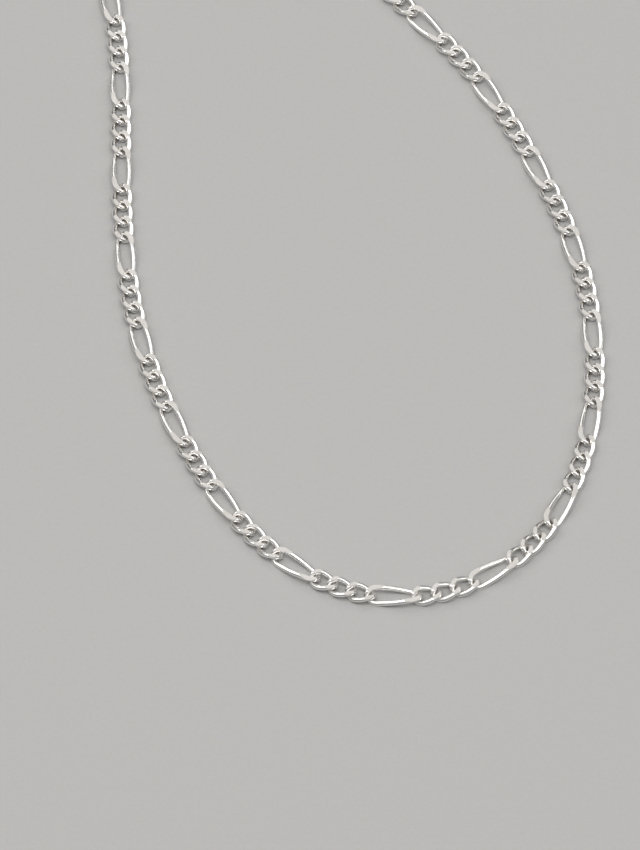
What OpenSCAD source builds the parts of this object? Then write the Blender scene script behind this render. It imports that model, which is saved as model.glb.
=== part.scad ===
// Figaro chain necklace in silver: three short links and one long one, repeated.
// Each link is a loop of round wire whose two ends are twisted opposite ways, so
// the chain lies flat, and its high and low sides are ground to flat faces.
// The closed necklace lies on the floor at z = 0, with its rounded front towards -y
// and its barrel clasp at the back.

/* [Links] */
// Width of a link at its middle
link_w = 3.65; // [3.5:0.05:4]
// Thickness of the round wire of the links
wire_d = 0.9; // [0.8:0.05:0.95]
// Length that a short link adds to the chain
short_step = 3.3; // [3.1:0.1:4]
// Length that a long link adds to the chain
long_step = 7.7; // [6:0.1:10]
// Clear space between two pieces where one hooks into the other
joint_gap = 0.3; // [0.2:0.05:0.4]
// Twist of each end of a link, in degrees
end_twist = 42; // [38:1:46]
// Thickness of the chain between its ground faces
chain_t = 1.6; // [1.5:0.05:1.7]
// Outline of a short link, from straight sides at 0 to an oval at 1
short_oval = 0.6; // [0.4:0.1:0.8]
// Outline of a long link, from straight sides at 0 to an oval at 1
long_oval = 0.2; // [0:0.1:0.4]

/* [Pattern] */
// Number of short links before each long one
shorts = 3; // [1:1:5]
// Number of times that the pattern repeats round the neck
repeats = 25; // [20:1:30]

/* [Clasp] */
// Outer diameter of the two jump rings
ring_out_d = 4.4; // [4:0.1:5]
// Thickness of the wire of the jump rings
ring_wire_d = 0.6; // [0.55:0.05:0.65]
// Free play of a jump ring along the chain
ring_play = 1.1; // [1:0.05:1.2]
// Diameter of the barrel
barrel_d = 3.4; // [3:0.1:4]
// Length of the barrel between its end faces
barrel_len = 9; // [7:0.1:12]
// Diameter of the barrel's end faces
barrel_end_d = 2.4; // [2:0.1:2.8]
// Length over which each end of the barrel narrows
barrel_taper = 1.2; // [0.8:0.1:2]
// Width of the groove where the two halves of the barrel meet
seam_w = 0.3; // [0.2:0.05:0.5]
// Depth of that groove
seam_depth = 0.2; // [0.1:0.05:0.3]
// Outer diameter of the eye on each end of the barrel
eye_out_d = 3.1; // [2.9:0.1:3.3]
// Thickness of the wire of the eyes
eye_wire_d = 0.7; // [0.6:0.05:0.75]
// Depth that the foot of each eye goes into the barrel's end
eye_sink = 0.5; // [0.4:0.05:0.6]

/* [Hidden] */

silver = [0.86, 0.85, 0.83];

// Lean of each jump ring to one side, and its rise from the chain to the clasp, in
// degrees. The bend of the chain there asks for more on the left.
LEFT_TILT = [29, 20];
RIGHT_TILT = [22, 15];

// Where the jump rings and the clasp are exact round shapes
$fn = 64;

// The middle of the chain as it lies, from the clasp down the left side, round the
// front and up the right side. The curve is drawn towards these points, and then
// scaled to the length of the chain and centred.
ROUTE = [
    [-19, 98], [-31, 98], [-40, 91], [-43, 80], [-43, 64], [-39, 46], [-33, 26],
    [-32, 5], [-32, -17], [-30, -40], [-22, -63], [-9, -85], [10, -96], [29, -92],
    [43, -78], [49, -52], [46, -25], [37, -4], [27, 15], [11, 31], [-1, 49],
    [-5, 67], [-7, 81], [-10, 91]
];
samples_per_point = 24;

// Distance along that curve from its first point to the middle of the clasp
clasp_at = 1.25;

// A link is drawn through stops: this many degrees apart round its ends, and at
// these shares of the half length of its straight sides
stop_turn = 30;
SHORT_SIDE_STOPS = [0];
LONG_SIDE_STOPS = [0.6, -0.6];
wire_sides = 5;

// One piece of the route's curve: a uniform cubic B-spline of four points
function curve_at(p, t) = (
    pow(1 - t, 3) * p[0]
    + (3 * pow(t, 3) - 6 * pow(t, 2) + 4) * p[1]
    + (-3 * pow(t, 3) + 3 * pow(t, 2) + 3 * t + 1) * p[2]
    + pow(t, 3) * p[3]) / 6;

route_points = len(ROUTE);
drawn = [
    for (i = [0 : route_points - 1])
        let (p = [for (k = [0 : 3]) ROUTE[(i + k) % route_points]])
            for (j = [0 : samples_per_point - 1]) curve_at(p, j / samples_per_point)
];
drawn_count = len(drawn);
drawn_at = [
    for (i = 0, s = 0; i <= drawn_count;
        s = s + norm(drawn[(i + 1) % drawn_count] - drawn[i % drawn_count]), i = i + 1) s
];
drawn_len = drawn_at[drawn_count];
drawn_x = [for (p = drawn) p[0]];
drawn_y = [for (p = drawn) p[1]];
drawn_mid = [(min(drawn_x) + max(drawn_x)) / 2, (min(drawn_y) + max(drawn_y)) / 2];
x_table = [for (i = [0 : drawn_count]) [drawn_at[i], drawn_x[i % drawn_count]]];
y_table = [for (i = [0 : drawn_count]) [drawn_at[i], drawn_y[i % drawn_count]]];

// Lengths along the chain
ring_step = ring_out_d - 2 * ring_wire_d - ring_play;
eye_reach = eye_out_d - eye_sink;
clasp_step = barrel_len + 2 * eye_reach - 2 * eye_wire_d - joint_gap;
repeat_step = shorts * short_step + long_step;
chain_len = repeats * repeat_step;
whole_len = chain_len + 2 * ring_step + clasp_step;
chain_start = clasp_step / 2 + ring_step;
links_per_repeat = shorts + 1;
link_count = repeats * links_per_repeat;
left_count = floor(link_count / 2);

// The point of the laid chain at a length along it from the middle of the clasp
route_scale = whole_len / drawn_len;
function wrapped(s) = s - whole_len * floor(s / whole_len);
function laid_at(s) =
    let (u = wrapped(s + clasp_at) / route_scale)
        route_scale * ([lookup(u, x_table), lookup(u, y_table)] - drawn_mid);

// Links
end_r = (link_w - wire_d) / 2;
function half_len(step) = (step + joint_gap + wire_d) / 2;
function is_long(i) = i % links_per_repeat == shorts;
function step_of(i) = is_long(i) ? long_step : short_step;
function start_of(i) =
    chain_start + floor(i / links_per_repeat) * repeat_step
    + (i % links_per_repeat) * short_step;
function ground(z) = max(-chain_t / 2, min(chain_t / 2, z));
function twisted(p, half) =
    let (turn = -end_twist * p[0] / half)
        [p[0], p[1] * cos(turn) - p[2] * sin(turn), p[1] * sin(turn) + p[2] * cos(turn)];
// The stops round a link, each an angle round its end and a place along its sides,
// where 1 is the right end and -1 is the left end
function end_stops(first, last, place) = [
    for (angle = [first + stop_turn / 2 : stop_turn : last]) [angle, place]
];
function link_stops(side_stops) = concat(
    end_stops(0, 90, 1),
    [for (place = side_stops) [90, place]],
    end_stops(90, 270, -1),
    [for (place = side_stops) [270, -place]],
    end_stops(270, 360, 1)
);

// Round an end the stops lie just outside the true curve, and the straight runs
// between them touch it. Each stop lies between its place on a link with straight
// sides and the same place on an oval one.
function stop_share(angle) = angle % 90 == 0 ? 1 : 1 / cos(stop_turn / 2);
function unit(v) = v / norm(v);
function link_vertex(step, oval, stop, side) =
    let (
        half = half_len(step),
        share = stop_share(stop[0]),
        out_straight = [cos(stop[0]), sin(stop[0])],
        on_straight = [stop[1] * (half - end_r), 0] + share * end_r * out_straight,
        turn = atan2(on_straight[1] / end_r, on_straight[0] / half),
        on_oval = share * [half * cos(turn), end_r * sin(turn)],
        out_oval = unit([cos(turn) / half, sin(turn) / end_r]),
        middle = (1 - oval) * on_straight + oval * on_oval,
        out = unit((1 - oval) * out_straight + oval * out_oval),
        around = 360 * (side + 0.5) / wire_sides,
        flat = middle + wire_d / 2 * cos(around) * out,
        w = twisted([flat[0], flat[1], wire_d / 2 * sin(around)], half)
    )
    [w[0], w[1], ground(w[2])];
function link_vertices(step, oval, stops) = [
    for (stop = stops) for (side = [0 : wire_sides - 1])
        link_vertex(step, oval, stop, side)
];
function vertex_index(i, side, count) = (i % count) * wire_sides + side % wire_sides;
function link_faces(count) = [
    for (i = [0 : count - 1]) for (side = [0 : wire_sides - 1])
        let (
            a = vertex_index(i, side, count),
            b = vertex_index(i + 1, side, count),
            c = vertex_index(i + 1, side + 1, count),
            d = vertex_index(i, side + 1, count)
        )
        each [[a, c, b], [a, d, c]]
];

// Places what follows along the laid chain from one length to another
module along(from, to) {
    start = laid_at(from);
    end = laid_at(to);
    run = end - start;
    middle = (start + end) / 2;
    translate([middle[0], middle[1], 0])
        rotate([0, 0, atan2(run[1], run[0])])
            children();
}

module link(step, oval, side_stops) {
    stops = link_stops(side_stops);
    translate([0, 0, chain_t / 2])
        polyhedron(
            points = link_vertices(step, oval, stops), faces = link_faces(len(stops)));
}

module links(first, last) {
    color(silver)
        for (i = [first : last])
            along(start_of(i), start_of(i) + step_of(i))
                if (is_long(i)) link(long_step, long_oval, LONG_SIDE_STOPS);
                else link(short_step, short_oval, SHORT_SIDE_STOPS);
}

module chain_left() {
    links(0, left_count - 1);
}

module chain_right() {
    links(left_count, link_count - 1);
}

// A closed ring of round wire in the plane z = 0
module wire_ring(out_d, ring_d) {
    rotate_extrude()
        translate([(out_d - ring_d) / 2, 0])
            circle(d = ring_d);
}

// A jump ring that rests on the floor and rises towards the clasp, on its +x side
ring_mid_r = (ring_out_d - ring_wire_d) / 2;
function ring_z(tilt) =
    ring_wire_d / 2 + ring_mid_r * sqrt(1 - pow(cos(tilt[0]) * cos(tilt[1]), 2));
module jump_ring(tilt) {
    color(silver)
        translate([0, 0, ring_z(tilt)])
            rotate([tilt[0], -tilt[1], 0])
                wire_ring(ring_out_d, ring_wire_d);
}

module ring_left() {
    along(clasp_step / 2, chain_start)
        rotate([0, 0, 180])
            jump_ring(LEFT_TILT);
}

module ring_right() {
    along(-chain_start, -clasp_step / 2)
        jump_ring(RIGHT_TILT);
}

// Barrel clasp: a tapered barrel with a seam round its middle and an upright eye on
// each end, all one piece
barrel_r = barrel_d / 2;
eye_x = barrel_len / 2 - eye_sink + eye_out_d / 2;
module barrel() {
    rotate([0, 90, 0])
        rotate_extrude()
            polygon([
                [0, -barrel_len / 2],
                [barrel_end_d / 2, -barrel_len / 2],
                [barrel_r, -barrel_len / 2 + barrel_taper],
                [barrel_r, -seam_w / 2],
                [barrel_r - seam_depth, -seam_w / 2],
                [barrel_r - seam_depth, seam_w / 2],
                [barrel_r, seam_w / 2],
                [barrel_r, barrel_len / 2 - barrel_taper],
                [barrel_end_d / 2, barrel_len / 2],
                [0, barrel_len / 2]
            ]);
}

module clasp() {
    color(silver)
        along(-clasp_step / 2, clasp_step / 2)
            translate([0, 0, barrel_r])
                union() {
                    barrel();
                    for (side = [-1, 1])
                        translate([side * eye_x, 0, 0])
                            rotate([90, 0, 0])
                                wire_ring(eye_out_d, eye_wire_d);
                }
}

chain_left();
chain_right();
ring_left();
ring_right();
clasp();
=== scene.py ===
# Figaro chain necklace in silver, as it lies in the photograph: smooth round wire
# links with ground faces, two jump rings and a barrel clasp, on a pale floor.
import math

import bmesh
import bpy
import numpy as np
from mathutils import Matrix, Vector


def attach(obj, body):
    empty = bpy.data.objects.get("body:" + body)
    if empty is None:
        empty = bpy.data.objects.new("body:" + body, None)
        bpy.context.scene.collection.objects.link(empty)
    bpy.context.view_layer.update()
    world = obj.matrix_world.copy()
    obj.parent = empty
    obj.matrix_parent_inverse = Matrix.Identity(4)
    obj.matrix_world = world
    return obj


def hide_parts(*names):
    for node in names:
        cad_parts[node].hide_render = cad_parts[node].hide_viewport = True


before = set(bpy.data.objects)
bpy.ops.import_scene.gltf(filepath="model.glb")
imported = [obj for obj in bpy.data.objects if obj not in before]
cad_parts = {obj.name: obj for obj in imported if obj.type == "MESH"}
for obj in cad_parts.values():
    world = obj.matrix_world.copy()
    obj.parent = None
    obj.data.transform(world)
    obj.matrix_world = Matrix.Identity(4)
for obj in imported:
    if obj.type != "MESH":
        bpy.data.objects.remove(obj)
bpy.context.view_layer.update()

MM = 0.001

# Sizes in millimetres, as the solids have them
LINK_W = 3.65
WIRE_D = 0.9
SHORT_STEP = 3.3
LONG_STEP = 7.7
JOINT_GAP = 0.3
END_TWIST = math.radians(42)
CHAIN_T = 1.6
SHORT_OVAL = 0.6
LONG_OVAL = 0.2
SHORTS = 3
REPEATS = 25
RING_OUT_D = 4.4
RING_WIRE_D = 0.6
RING_PLAY = 1.1
LEFT_TILT = (math.radians(29), math.radians(20))
RIGHT_TILT = (math.radians(22), math.radians(15))
BARREL_D = 3.4
BARREL_LEN = 9.0
BARREL_END_D = 2.4
BARREL_TAPER = 1.2
SEAM_W = 0.3
SEAM_DEPTH = 0.2
EYE_OUT_D = 3.1
EYE_WIRE_D = 0.7
EYE_SINK = 0.5

# The few points that the middle of the laid chain is drawn towards
ROUTE = [
    (-19, 98), (-31, 98), (-40, 91), (-43, 80), (-43, 64), (-39, 46), (-33, 26),
    (-32, 5), (-32, -17), (-30, -40), (-22, -63), (-9, -85), (10, -96), (29, -92),
    (43, -78), (49, -52), (46, -25), (37, -4), (27, 15), (11, 31), (-1, 49),
    (-5, 67), (-7, 81), (-10, 91)
]
SAMPLES_PER_POINT = 24
CLASP_AT = 1.25

# How finely a link's wire is drawn: sides round it, cuts round each end of the link,
# and cuts along each straight side
WIRE_SIDES = 28
END_CUTS = 22
SHORT_SIDE_CUTS = 6
LONG_SIDE_CUTS = 18

# How near a point counts as on the plane that a ground face is cut by
ON_PLANE = 1e-5
# Points of a ground face's rim that are nearer than this become one
RIM_MERGE = 0.012
# How far back the rim of a ground face is broken
RIM_BEVEL = 0.03
# Bends sharper than this stay crisp
SHARP_ANGLE = math.radians(38)

# How finely the other pieces are drawn
RING_SIDES = 24
RING_CUTS = 96
EYE_SIDES = 24
EYE_CUTS = 72
BARREL_SIDES = 72

# A jump ring's butt joint: its gap, the reach of the edge broken at each end of the
# wire, and where that edge bends, as a share of its reach
BUTT_GAP = 0.05
BUTT_EDGE = 0.05
EDGE_KNEE = 0.3

# A corner of the barrel is rounded this far back, or by this share of a shorter side
CORNER_REACH = 0.12
CORNER_SHARE = 0.35
CORNER_STEPS = (0, 0.25, 0.5, 0.75, 1)

# Painted shade, with some tarnish, darkens and roughens the silver where wires lie close: how far
# that reaches from a neighbour's wire, how quickly it fades, and how strong it is deep in the
# barrel's seam, to a little past its edges
SHADE_REACH = 0.55
SHADE_FADE = 1.5
SEAM_SHADE = 0.8
SEAM_MARGIN = 0.02

# Each link has other draw lines than the next
LINES_APART = 9.0
# The shade of a piece, from deep at 0 to pale at 1. Each link draws its own.
RING_TONE = 0.5
CLASP_TONE = 0.7
SEED = 7

# The material slots of a piece
WIRE_SLOT = 0
GROUND_SLOT = 1

# Colours
WIRE_DEEP = (0.93, 0.915, 0.89, 1)
WIRE_PALE = (0.955, 0.945, 0.93, 1)
WIRE_HAZE = (0.86, 0.82, 0.775, 1)
# The painted shade, with some tarnish, between wires that lie close
WIRE_SHADE_TARNISH = (0.56, 0.52, 0.475, 1)
GROUND_DEEP = (0.595, 0.578, 0.552, 1)
GROUND_PALE = (0.655, 0.637, 0.612, 1)
GROUND_SPECKS = (0.425, 0.375, 0.347, 1)
GROUND_CLOUDS = (0.54, 0.492, 0.465, 1)
FLOOR_DEEP = (0.39, 0.385, 0.378, 1)
FLOOR_PALE = (0.403, 0.398, 0.39, 1)

# The room's light by height, from the horizon at 0 to straight above at 1
ROOM_LOW_AT = 0.05
ROOM_LOW = (0.06, 0.06, 0.062, 1)
ROOM_HIGH_AT = 0.7
ROOM_HIGH = (0.55, 0.55, 0.55, 1)

# The floor and the camera, in metres
FLOOR_HALF = 4.0
FLOOR_DROP = 0.00001
CAMERA_ELEVATION = math.radians(56.5)
CAMERA_DISTANCE = 1.8278
CAMERA_LENS = 463.6
SENSOR_W = 36
LOOK_AT = Vector((-0.00073, -0.06130, 0))

UP = np.array([0, 0, 1.0])
ALONG_Y = np.array([0, 1.0, 0])


# Points and faces

def unit(v):
    return v / np.linalg.norm(v, axis=1, keepdims=True)


def run_of(line):
    """The length along a line up to each of its points."""
    return np.concatenate([[0], np.cumsum(np.linalg.norm(np.diff(line, axis=0), axis=1))])


def placed(points, place):
    turn, shift = place
    return points @ turn.T + shift


def round_wire(line, out, across, radius, sides, phase=0.0):
    """Points round the wire at each point of its middle line, and their angles.

    The line lies in a plane: out is its outward direction, across is square to the plane.
    The radius is one number, or one for each point of the line.
    """
    around = 2 * np.pi * (np.arange(sides) + phase) / sides
    points = line[:, None] + np.asarray(radius)[..., None, None] * (
        np.cos(around)[None, :, None] * out[:, None]
        + np.sin(around)[None, :, None] * across)
    return points.reshape(-1, 3), around


def tube_faces(rows, sides, closed):
    """Four-sided faces between rows of points round a tube, which may join up in a ring."""
    return [
        [i * sides + j, (i + 1) % rows * sides + j,
         (i + 1) % rows * sides + (j + 1) % sides, i * sides + (j + 1) % sides]
        for i in range(rows if closed else rows - 1) for j in range(sides)]


def face_outward(mesh):
    bm = bmesh.new()
    bm.from_mesh(mesh)
    bmesh.ops.recalc_face_normals(bm, faces=bm.faces[:])
    bm.to_mesh(mesh)
    bm.free()


# The laid chain

def drawn_route():
    """The smooth closed curve that the route's points draw, and the length up to its points."""
    points = np.array(ROUTE, float)
    count = len(points)
    t = np.arange(SAMPLES_PER_POINT) / SAMPLES_PER_POINT
    weights = np.stack([
        (1 - t) ** 3,
        3 * t ** 3 - 6 * t ** 2 + 4,
        -3 * t ** 3 + 3 * t ** 2 + 3 * t + 1,
        t ** 3,
    ], 1) / 6
    curve = np.concatenate([
        weights @ points[[(i + k) % count for k in range(4)]] for i in range(count)])
    curve = np.vstack([curve, curve[:1]])
    return curve - (curve.min(0) + curve.max(0)) / 2, run_of(curve)


ring_step = RING_OUT_D - 2 * RING_WIRE_D - RING_PLAY
clasp_step = BARREL_LEN + 2 * (EYE_OUT_D - EYE_SINK) - 2 * EYE_WIRE_D - JOINT_GAP
repeat_step = SHORTS * SHORT_STEP + LONG_STEP
whole_len = REPEATS * repeat_step + 2 * ring_step + clasp_step
chain_start = clasp_step / 2 + ring_step
links_per_repeat = SHORTS + 1
link_count = REPEATS * links_per_repeat
left_count = link_count // 2
curve, curve_at = drawn_route()
route_scale = whole_len / curve_at[-1]


def laid_at(length):
    """The point of the laid chain at a length along it, from the middle of the clasp on."""
    at = ((length + CLASP_AT) % whole_len) / route_scale
    return route_scale * np.array([np.interp(at, curve_at, curve[:, k]) for k in (0, 1)])


def along(start, end):
    """The place of a piece between two lengths along the laid chain: a turn and a shift."""
    a, b = laid_at(start), laid_at(end)
    x, y = (b - a) / np.linalg.norm(b - a)
    turn = np.array([[x, -y, 0], [y, x, 0], [0, 0, 1]])
    return turn, np.array([*(a + b) / 2, 0])


# Links

end_r = (LINK_W - WIRE_D) / 2


def half_len(step):
    """Half the length of a link, between the middles of its wire."""
    return (step + JOINT_GAP + WIRE_D) / 2


def twisted(p, half):
    """Points of a link turned about its length, the two ends opposite ways."""
    turn = -END_TWIST * p[:, 0] / half
    c, s = np.cos(turn), np.sin(turn)
    return np.stack([p[:, 0], p[:, 1] * c - p[:, 2] * s, p[:, 1] * s + p[:, 2] * c], 1)


def link_line(step, oval, side_cuts):
    """The middle of a link's wire and its outward directions, flat, from the near side on.

    The outline lies between one with straight sides, at oval 0, and an oval, at 1.
    """
    half = half_len(step)
    straight = half - end_r
    angles, shifts = [], []
    for first, end in ((-90, 1), (90, -1)):
        angles += [first + 180 * k / END_CUTS for k in range(END_CUTS + 1)]
        shifts += [end * straight] * (END_CUTS + 1)
        inner = [end * straight * (1 - 2 * k / side_cuts) for k in range(1, side_cuts)]
        angles += [first + 180] * len(inner)
        shifts += inner
    angles = np.radians(angles)
    out = np.stack([np.cos(angles), np.sin(angles), np.zeros(len(angles))], 1)
    middle = end_r * out
    middle[:, 0] += shifts
    turn = np.arctan2(middle[:, 1] / end_r, middle[:, 0] / half)
    on_oval = np.stack([half * np.cos(turn), end_r * np.sin(turn), 0 * turn], 1)
    out_oval = unit(np.stack([np.cos(turn) / half, np.sin(turn) / end_r, 0 * turn], 1))
    return (1 - oval) * middle + oval * on_oval, unit((1 - oval) * out + oval * out_oval)


def round_link(middle, out, half):
    """A twisted link in round wire. Its points keep their place round and along the wire."""
    points, around = round_wire(middle, out, UP, WIRE_D / 2, WIRE_SIDES, phase=0.5)
    run = run_of(middle)
    girth = run[-1] + np.linalg.norm(middle[0] - middle[-1])
    bm = bmesh.new()
    drawn = bm.verts.layers.float_vector.new("drawn")
    verts = []
    for k, spot in enumerate(twisted(points, half)):
        i, j = divmod(k, WIRE_SIDES)
        vert = bm.verts.new(spot)
        vert[drawn] = (math.cos(around[j]), math.sin(around[j]), min(run[i], girth - run[i]))
        verts.append(vert)
    for face in tube_faces(len(middle), WIRE_SIDES, closed=True):
        bm.faces.new([verts[k] for k in face])
    return bm, drawn


def grind(bm):
    """Cuts a link flat above and below at the chain's thickness, and breaks the rims."""
    for side in (1, -1):
        cut = bmesh.ops.bisect_plane(
            bm, geom=bm.verts[:] + bm.edges[:] + bm.faces[:], dist=ON_PLANE,
            plane_co=(0, 0, side * CHAIN_T / 2), plane_no=(0, 0, side), clear_outer=True)
        rim = [e for e in cut["geom_cut"] if isinstance(e, bmesh.types.BMEdge)]
        bmesh.ops.remove_doubles(
            bm, verts=list(dict.fromkeys(v for e in rim for v in e.verts)), dist=RIM_MERGE)
        rim = [e for e in bm.edges if e.is_boundary]
        for face in bmesh.ops.holes_fill(bm, edges=rim, sides=0)["faces"]:
            face.material_index = GROUND_SLOT
    rim = [e for e in bm.edges if len({f.material_index for f in e.link_faces}) == 2]
    bmesh.ops.bevel(
        bm, geom=rim, offset=RIM_BEVEL, segments=1, affect="EDGES",
        clamp_overlap=True, material=WIRE_SLOT)
    bmesh.ops.recalc_face_normals(bm, faces=bm.faces[:])


def link_template(step, oval, side_cuts):
    """The shape of one link about its middle, with the middle line of its wire."""
    half = half_len(step)
    middle, out = link_line(step, oval, side_cuts)
    bm, drawn = round_link(middle, out, half)
    grind(bm)
    bm.verts.index_update()
    shape = {
        "points": np.array([v.co[:] for v in bm.verts]),
        "drawn": np.array([v[drawn][:] for v in bm.verts]),
        "faces": [[v.index for v in f.verts] for f in bm.faces],
        "slots": [f.material_index for f in bm.faces],
        "line": twisted(middle, half),
    }
    bm.free()
    return shape


short_link = link_template(SHORT_STEP, SHORT_OVAL, SHORT_SIDE_CUTS)
long_link = link_template(LONG_STEP, LONG_OVAL, LONG_SIDE_CUTS)


def is_long(i):
    return i % links_per_repeat == SHORTS


def link_of(i):
    return long_link if is_long(i) else short_link


def place_of(i):
    start = chain_start + i // links_per_repeat * repeat_step + i % links_per_repeat * SHORT_STEP
    turn, shift = along(start, start + (LONG_STEP if is_long(i) else SHORT_STEP))
    return turn, shift + CHAIN_T / 2 * UP


link_places = [place_of(i) for i in range(link_count)]
link_lines = [placed(link_of(i)["line"], link_places[i]) for i in range(link_count)]


# Pieces

def shade_share(points, lines, wire_r):
    """From 0 to 1, how closely each point faces the wires whose middle lines are given: its share
    of painted shade and tarnish.
    """
    gap = np.full(len(points), np.inf)
    for line in lines:
        to_line = np.linalg.norm(points[:, None] - line[None], axis=2).min(1)
        gap = np.minimum(gap, to_line - wire_r)
    return np.clip(1 - gap / SHADE_REACH, 0, 1) ** SHADE_FADE


def mesh_piece(name, shape, shade_and_tarnish, tone, materials):
    """A new object. Its points carry their place on the drawn wire, their share of painted shade
    and tarnish, and their tone.
    """
    mesh = bpy.data.meshes.new(name)
    mesh.from_pydata((shape["points"] * MM).tolist(), [], shape["faces"])
    mesh.polygons.foreach_set("material_index", shape["slots"])
    mesh.polygons.foreach_set("use_smooth", [True] * len(shape["faces"]))
    for material in materials:
        mesh.materials.append(material)
    mesh.attributes.new("drawn", "FLOAT_VECTOR", "POINT").data.foreach_set(
        "vector", shape["drawn"].astype(np.float32).ravel())
    for key, values in (("crevice", shade_and_tarnish), ("tone", tone)):
        mesh.attributes.new(key, "FLOAT", "POINT").data.foreach_set(
            "value", values.astype(np.float32))
    mesh.update()
    face_outward(mesh)
    sharp_rims(mesh)
    piece = bpy.data.objects.new(name, mesh)
    bpy.context.scene.collection.objects.link(piece)
    return piece


def sharp_rims(mesh):
    """Sharp bends, and the edges between a ground face and the round wire, are crisp."""
    bm = bmesh.new()
    bm.from_mesh(mesh)
    for edge in bm.edges:
        a, b = edge.link_faces[:2]
        edge.smooth = (
            a.material_index == b.material_index
            and a.normal.angle(b.normal, 0) < SHARP_ANGLE)
    bm.to_mesh(mesh)
    bm.free()


def chain_piece(name, first, last, end_rings, materials):
    """Half of the chain. A link that holds a jump ring gets painted shade and tarnish from the
    ring's wire too.
    """
    rng = np.random.default_rng(SEED + first)
    points, drawn, faces, slots, shade_and_tarnish, tone = [], [], [], [], [], []
    base = 0
    for i in range(first, last):
        link = link_of(i)
        spots = placed(link["points"], link_places[i])
        near = [link_lines[k] for k in (i - 1, i + 1) if 0 <= k < link_count]
        near += end_rings.get(i, [])
        points.append(spots)
        drawn.append(link["drawn"] + LINES_APART * i * UP)
        # Painted shade and tarnish where the neighbouring wires lie close
        shade_and_tarnish.append(shade_share(spots, near, WIRE_D / 2))
        tone.append(np.full(len(spots), rng.random()))
        faces += [[base + k for k in face] for face in link["faces"]]
        slots += link["slots"]
        base += len(spots)
    shape = {
        "points": np.concatenate(points), "drawn": np.concatenate(drawn),
        "faces": faces, "slots": slots}
    return mesh_piece(name, shape, np.concatenate(shade_and_tarnish), np.concatenate(tone), materials)


# Jump rings

ring_mid_r = (RING_OUT_D - RING_WIRE_D) / 2


def ring_shape():
    """The shape of a jump ring in the plane z = 0, with its butt joint on the +y side."""
    wire_r = RING_WIRE_D / 2
    half_gap = BUTT_GAP / 2 / ring_mid_r
    edge = BUTT_EDGE / ring_mid_r
    angles = [half_gap, half_gap + edge * EDGE_KNEE, half_gap + edge]
    radii = [wire_r - BUTT_EDGE, wire_r - BUTT_EDGE * EDGE_KNEE, wire_r]
    inner = np.linspace(half_gap + edge, 2 * np.pi - half_gap - edge, RING_CUTS)[1:-1]
    angles = np.array(angles + list(inner) + [2 * np.pi - a for a in reversed(angles)])
    angles += np.pi / 2
    radii = np.array(radii + [wire_r] * len(inner) + list(reversed(radii)))
    out = np.stack([np.cos(angles), np.sin(angles), np.zeros(len(angles))], 1)
    line = ring_mid_r * out
    points, around = round_wire(line, out, UP, radii, RING_SIDES)
    count = len(angles)
    first_end = list(range(RING_SIDES))
    last_end = [(count - 1) * RING_SIDES + j for j in first_end]
    faces = tube_faces(count, RING_SIDES, closed=False) + [first_end, last_end]
    drawn = np.stack([
        np.tile(np.cos(around), count), np.tile(np.sin(around), count),
        np.repeat(angles * ring_mid_r, RING_SIDES)], 1)
    return {
        "points": points, "drawn": drawn, "faces": faces,
        "slots": [WIRE_SLOT] * len(faces), "line": line}


def tilted(points, lean, rise):
    """Points of a ring in the plane z = 0, leant and raised so that it rests on the floor."""
    about_x = np.array(Matrix.Rotation(lean, 3, "X"))
    about_y = np.array(Matrix.Rotation(-rise, 3, "Y"))
    flatness = math.cos(lean) * math.cos(rise)
    lift = RING_WIRE_D / 2 + ring_mid_r * math.sqrt(1 - flatness ** 2)
    return points @ (about_y @ about_x).T + lift * UP


def jump_ring(name, place, tilt, facing, near, material):
    """A ring that faces along the chain at 1, or back along it at -1, and its middle line."""
    shape = ring_shape()
    for key in ("points", "line"):
        shape[key] = placed(tilted(shape[key], *tilt) * [facing, facing, 1], place)
    # Painted shade and tarnish where the ring lies close to the link it holds
    shade_and_tarnish = shade_share(shape["points"], near, WIRE_D / 2)
    tone = np.full(len(shade_and_tarnish), RING_TONE)
    piece = mesh_piece(name, shape, shade_and_tarnish, tone, [material])
    crisp_ends(piece.data)
    return piece, shape["line"]


def crisp_ends(mesh):
    """The rims of a ring's two cut ends, which are its last faces, are crisp too."""
    rims = {key for face in mesh.polygons[-2:] for key in face.edge_keys}
    for edge in mesh.edges:
        if edge.key in rims:
            edge.use_edge_sharp = True


# Clasp

def rounded(profile):
    """A profile with each inner corner replaced by points on a small curve."""
    out = [profile[0]]
    for before, at, after in zip(profile, profile[1:], profile[2:]):
        at = np.array(at)
        a, b = np.array(before) - at, np.array(after) - at
        len_a, len_b = np.linalg.norm(a), np.linalg.norm(b)
        reach = min(CORNER_REACH, CORNER_SHARE * len_a, CORNER_SHARE * len_b)
        p, q = at + reach * a / len_a, at + reach * b / len_b
        for t in CORNER_STEPS:
            out.append(tuple((1 - t) ** 2 * p + 2 * t * (1 - t) * at + t ** 2 * q))
    return out + [profile[-1]]


def barrel():
    """Points and faces of the barrel, turned about x, with a shallow seam in the middle."""
    r, tip_r, half, seam = BARREL_D / 2, BARREL_END_D / 2, BARREL_LEN / 2, SEAM_W / 2
    profile = np.array(rounded([
        (-half, 0), (-half, tip_r), (-half + BARREL_TAPER, r), (-seam, r),
        (-seam, r - SEAM_DEPTH), (seam, r - SEAM_DEPTH), (seam, r),
        (half - BARREL_TAPER, r), (half, tip_r), (half, 0)]))
    around = 2 * np.pi * np.arange(BARREL_SIDES) / BARREL_SIDES
    turned = np.stack([np.ones(BARREL_SIDES), np.cos(around), np.sin(around)], 1)
    rows = profile[1:-1, [0, 1, 1]][:, None] * turned
    poles = [(profile[0, 0], 0, 0), (profile[-1, 0], 0, 0)]
    faces = tube_faces(len(rows), BARREL_SIDES, closed=False)
    first_pole = len(rows) * BARREL_SIDES
    for pole, row in ((first_pole, 0), (first_pole + 1, len(rows) - 1)):
        faces += [
            [pole, row * BARREL_SIDES + j, row * BARREL_SIDES + (j + 1) % BARREL_SIDES]
            for j in range(BARREL_SIDES)]
    return np.vstack([rows.reshape(-1, 3), poles]), faces


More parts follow.
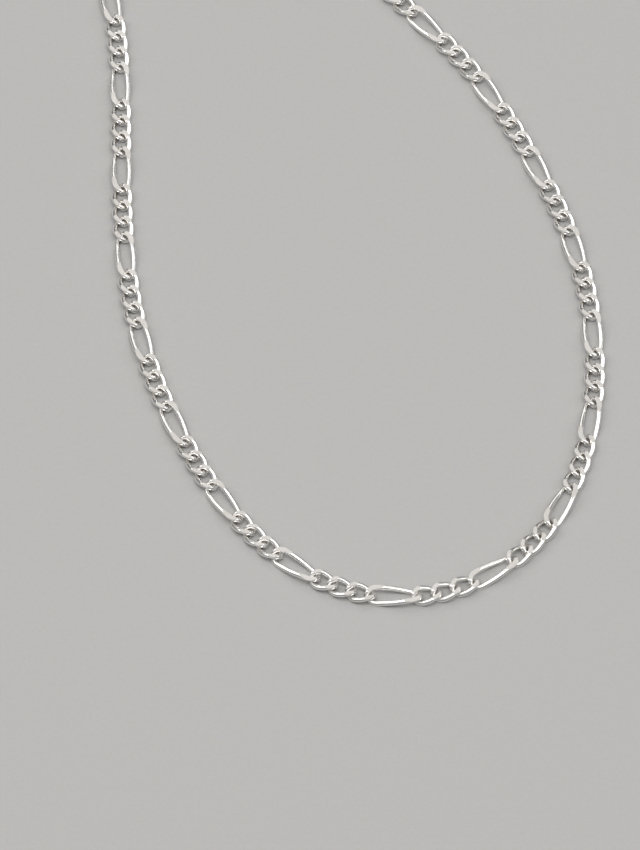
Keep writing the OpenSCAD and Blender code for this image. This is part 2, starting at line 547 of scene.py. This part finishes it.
def eye(side):
    """Points and faces of the upright eye on one end of the barrel."""
    mid_r = (EYE_OUT_D - EYE_WIRE_D) / 2
    angles = 2 * np.pi * (np.arange(EYE_CUTS) + 0.5) / EYE_CUTS
    out = np.stack([np.cos(angles), np.zeros(EYE_CUTS), np.sin(angles)], 1)
    points, _ = round_wire(mid_r * out, out, ALONG_Y, EYE_WIRE_D / 2, EYE_SIDES, phase=0.5)
    points[:, 0] += side * (BARREL_LEN / 2 - EYE_SINK + EYE_OUT_D / 2)
    return points, tube_faces(EYE_CUTS, EYE_SIDES, closed=True)


def fused(solids):
    """One closed mesh of several solids that run into each other."""
    parts = []
    for points, faces in solids:
        mesh = bpy.data.meshes.new("part")
        mesh.from_pydata(points.tolist(), [], faces)
        face_outward(mesh)
        parts.append(bpy.data.objects.new("part", mesh))
        bpy.context.scene.collection.objects.link(parts[-1])
    for other in parts[1:]:
        join = parts[0].modifiers.new("fuse", "BOOLEAN")
        join.operation = "UNION"
        join.solver = "EXACT"
        join.object = other
    graph = bpy.context.evaluated_depsgraph_get()
    mesh = bpy.data.meshes.new_from_object(parts[0].evaluated_get(graph))
    for part in parts:
        bpy.data.objects.remove(part)
    return mesh


def clasp_piece(name, place, near, material):
    mesh = fused([barrel(), eye(1), eye(-1)])
    points = np.array([v.co[:] for v in mesh.vertices])
    faces = [list(f.vertices) for f in mesh.polygons]
    x, radius = points[:, 0], np.hypot(points[:, 1], points[:, 2])
    shape = {
        "points": placed(points + BARREL_D / 2 * UP, place),
        # Lines that follow x alone run round the barrel, as turning leaves them
        "drawn": np.stack([2 * x, radius, x], 1),
        "faces": faces,
        "slots": [WIRE_SLOT] * len(faces),
    }
    # Painted shade and tarnish where the rings lie close, and deep in the groove of the seam
    shade_and_tarnish = shade_share(shape["points"], near, RING_WIRE_D / 2)
    in_seam = np.abs(x) < SEAM_W / 2 + SEAM_MARGIN
    shade_and_tarnish[in_seam & (radius < BARREL_D / 2 - SEAM_DEPTH / 2)] = SEAM_SHADE
    return mesh_piece(name, shape, shade_and_tarnish, np.full(len(x), CLASP_TONE), [material])


# Materials

class Nodes:
    """Short names for adding and joining a material's nodes."""

    def __init__(self, name):
        self.material = bpy.data.materials.new(name)
        self.material.use_nodes = True
        self.tree = self.material.node_tree
        self.shader = self.tree.nodes["Principled BSDF"]

    def add(self, kind, inputs=(), **settings):
        node = self.tree.nodes.new(kind)
        for key, value in settings.items():
            setattr(node, key, value)
        for key, value in dict(inputs).items():
            self.set(node.inputs[key], value)
        return node

    def set(self, socket, value):
        if isinstance(value, bpy.types.NodeSocket):
            self.tree.links.new(value, socket)
        else:
            socket.default_value = value

    def math(self, operation, *values):
        node = self.add("ShaderNodeMath", operation=operation)
        for socket, value in zip(node.inputs, values):
            self.set(socket, value)
        return node.outputs[0]

    def plus(self, a, b):
        return self.math("ADD", a, b)

    def times(self, a, b):
        return self.math("MULTIPLY", a, b)

    def spread(self, value, low, high, to_low=0.0, to_high=1.0):
        """Maps the values from low to high to those from to_low to to_high, and no further."""
        return self.add("ShaderNodeMapRange", {
            "Value": value, "From Min": low, "From Max": high,
            "To Min": to_low, "To Max": to_high}).outputs[0]

    def mix(self, share, a, b):
        # A mix node's colour sockets are its inputs 6 and 7 and its output 2
        return self.add(
            "ShaderNodeMix", {"Factor": share, 6: a, 7: b}, data_type="RGBA").outputs[2]

    def noise(self, vector, scale, detail, rough=0.5):
        return self.add("ShaderNodeTexNoise", {
            "Vector": vector, "Scale": scale, "Detail": detail,
            "Roughness": rough}).outputs["Fac"]

    def stretched(self, vector, *factors):
        """Coordinates times a factor each: noise gets finer where a factor is larger."""
        return self.add(
            "ShaderNodeVectorMath", {0: vector, 1: factors}, operation="MULTIPLY").outputs[0]

    def attribute(self, name, output="Fac"):
        return self.add("ShaderNodeAttribute", attribute_name=name).outputs[output]

    def in_mm(self):
        place = self.add("ShaderNodeTexCoord").outputs["Object"]
        return self.stretched(place, 1 / MM, 1 / MM, 1 / MM)

    def surface(self, colour, roughness, height, bump_strength, bump_depth):
        """Joins up the shader. The bump's depth is in millimetres."""
        bump = self.add("ShaderNodeBump", {
            "Strength": bump_strength, "Distance": bump_depth * MM, "Height": height})
        self.set(self.shader.inputs["Base Color"], colour)
        self.set(self.shader.inputs["Roughness"], roughness)
        self.set(self.shader.inputs["Normal"], bump.outputs[0])


def silver_wire():
    """Polished drawn wire: faint draw lines, fine scuffs, and painted shade with some tarnish, a
    darker and rougher grey where wires lie close.
    """
    n = Nodes("silver_wire")
    mm = n.in_mm()
    along_wire = n.stretched(n.attribute("drawn", "Vector"), 9, 9, 0.35)
    lines = n.noise(along_wire, scale=1.0, detail=3.0, rough=0.6)
    scuffs = n.spread(n.noise(mm, scale=7.0, detail=4.0, rough=0.65), 0.52, 0.72)
    clouds = n.noise(mm, scale=0.9, detail=3.0, rough=0.6)
    waves = n.noise(mm, scale=1.6, detail=1.0)
    # Painted shade with some tarnish where wires lie close, broken up by clouds. It roughens the
    # wire too.
    painted_shade = n.times(n.attribute("crevice"), n.spread(clouds, 0.25, 0.7, to_low=0.45))
    clean = n.mix(n.attribute("tone"), WIRE_DEEP, WIRE_PALE)
    hazed = n.mix(n.spread(clouds, 0.45, 0.75, to_high=0.35), clean, WIRE_HAZE)
    rough = n.plus(
        n.spread(lines, 0.3, 0.7, to_low=0.13, to_high=0.21), n.times(scuffs, 0.12))
    height = n.plus(n.plus(n.times(lines, 0.5), n.times(scuffs, -0.4)), n.times(waves, 3.0))
    n.set(n.shader.inputs["Metallic"], 1.0)
    n.surface(
        n.mix(painted_shade, hazed, WIRE_SHADE_TARNISH), n.plus(rough, n.times(painted_shade, 0.2)), height,
        bump_strength=0.35, bump_depth=0.012)
    return n.material


def silver_ground():
    """Ground faces: bright, slightly matt and warm, with fine grinding lines and pits."""
    n = Nodes("silver_ground")
    mm = n.in_mm()
    lines = n.noise(n.stretched(mm, 2.2, 26, 1), scale=1.0, detail=3.0, rough=0.6)
    pits = n.noise(mm, scale=9.0, detail=3.0, rough=0.7)
    clouds = n.spread(n.noise(mm, scale=1.4, detail=2.0), 0.5, 0.8, to_high=0.4)
    clean = n.mix(n.attribute("tone"), GROUND_DEEP, GROUND_PALE)
    speckled = n.mix(n.spread(pits, 0.5, 0.72, to_high=0.75), clean, GROUND_SPECKS)
    rough = n.plus(
        n.spread(lines, 0.3, 0.7, to_low=0.3, to_high=0.44),
        n.spread(pits, 0.45, 0.7, to_high=0.12))
    n.set(n.shader.inputs["Metallic"], 1.0)
    n.surface(
        n.mix(clouds, speckled, GROUND_CLOUDS), rough, n.plus(lines, n.times(pits, -0.8)),
        bump_strength=0.5, bump_depth=0.012)
    return n.material


def pale_floor():
    n = Nodes("pale_floor")
    grain = n.noise(n.in_mm(), scale=1.5, detail=4.0, rough=0.6)
    n.set(n.shader.inputs["Specular IOR Level"], 0.25)
    n.surface(
        n.mix(n.spread(grain, 0.35, 0.65), FLOOR_DEEP, FLOOR_PALE), 0.75, grain,
        bump_strength=0.15, bump_depth=0.05)
    return n.material


# Floor, light and camera

def lay_floor():
    mesh = bpy.data.meshes.new("floor")
    mesh.from_pydata(
        [(x * FLOOR_HALF, y * FLOOR_HALF, 0) for x, y in ((-1, -1), (1, -1), (1, 1), (-1, 1))],
        [], [[0, 1, 2, 3]])
    mesh.materials.append(pale_floor())
    floor = bpy.data.objects.new("floor", mesh)
    floor.location.z = -FLOOR_DROP
    bpy.context.scene.collection.objects.link(floor)


def softbox(name, azimuth, elevation, distance, width, height, watts, colour):
    """A soft light that faces the middle of the chain. Azimuth 0 is behind it, on the +y side."""
    light = bpy.data.lights.new(name, "AREA")
    light.shape = "RECTANGLE"
    light.size = width
    light.size_y = height
    light.energy = watts
    light.color = colour
    lamp = bpy.data.objects.new(name, light)
    az, el = math.radians(azimuth), math.radians(elevation)
    away = Vector((math.cos(el) * math.sin(az), math.cos(el) * math.cos(az), math.sin(el)))
    lamp.location = away * distance
    lamp.rotation_euler = away.to_track_quat("Z", "Y").to_euler()
    bpy.context.scene.collection.objects.link(lamp)


def light_room():
    """A pale room, darker towards the horizon."""
    world = bpy.data.worlds.new("studio")
    world.use_nodes = True
    tree = world.node_tree
    place = tree.nodes.new("ShaderNodeTexCoord")
    height = tree.nodes.new("ShaderNodeSeparateXYZ")
    ramp = tree.nodes.new("ShaderNodeValToRGB")
    low, high = ramp.color_ramp.elements
    low.position, low.color = ROOM_LOW_AT, ROOM_LOW
    high.position, high.color = ROOM_HIGH_AT, ROOM_HIGH
    tree.links.new(place.outputs["Generated"], height.inputs[0])
    tree.links.new(height.outputs["Z"], ramp.inputs["Fac"])
    tree.links.new(ramp.outputs["Color"], tree.nodes["Background"].inputs["Color"])
    bpy.context.scene.world = world
    bpy.context.scene.view_settings.view_transform = "Standard"


def set_camera():
    data = bpy.data.cameras.new("camera")
    data.sensor_width = SENSOR_W
    data.lens = CAMERA_LENS
    camera = bpy.data.objects.new("camera", data)
    camera.location = LOOK_AT + CAMERA_DISTANCE * Vector((
        0, -math.cos(CAMERA_ELEVATION), math.sin(CAMERA_ELEVATION)))
    camera.rotation_euler = (math.pi / 2 - CAMERA_ELEVATION, 0, 0)
    bpy.context.scene.collection.objects.link(camera)
    bpy.context.scene.camera = camera


# The necklace

wire = silver_wire()
ground = silver_ground()

silver_ring_left, left_line = jump_ring(
    "silver_ring_left", along(clasp_step / 2, chain_start), LEFT_TILT, -1,
    [link_lines[0]], wire)
silver_ring_right, right_line = jump_ring(
    "silver_ring_right", along(-chain_start, -clasp_step / 2), RIGHT_TILT, 1,
    [link_lines[-1]], wire)
silver_clasp = clasp_piece(
    "silver_clasp", along(-clasp_step / 2, clasp_step / 2), [left_line, right_line], wire)
links_left = chain_piece(
    "links_left", 0, left_count, {0: [left_line]}, [wire, ground])
links_right = chain_piece(
    "links_right", left_count, link_count, {link_count - 1: [right_line]}, [wire, ground])

for piece, node, slot in (
    (links_left, "chain_left", "links"),
    (links_right, "chain_right", "links"),
    (silver_ring_left, "ring_left", "rings"),
    (silver_ring_right, "ring_right", "rings"),
    (silver_clasp, "clasp", "clasp"),
):
    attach(piece, "root")
    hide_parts(node)

# The studio

lay_floor()
softbox(
    "overhead", azimuth=180, elevation=80, distance=1.0, width=0.9, height=0.55,
    watts=5.5, colour=(1.0, 0.99, 0.975))
softbox(
    "back", azimuth=-12, elevation=44, distance=1.4, width=1.6, height=0.8,
    watts=3.9, colour=(1.0, 0.985, 0.965))
softbox(
    "right", azimuth=100, elevation=40, distance=1.3, width=0.8, height=0.9,
    watts=2.8, colour=(0.98, 0.99, 1.0))
softbox(
    "left", azimuth=-78, elevation=42, distance=1.3, width=0.8, height=0.9,
    watts=3.2, colour=(1.0, 0.99, 0.98))
light_room()
set_camera()
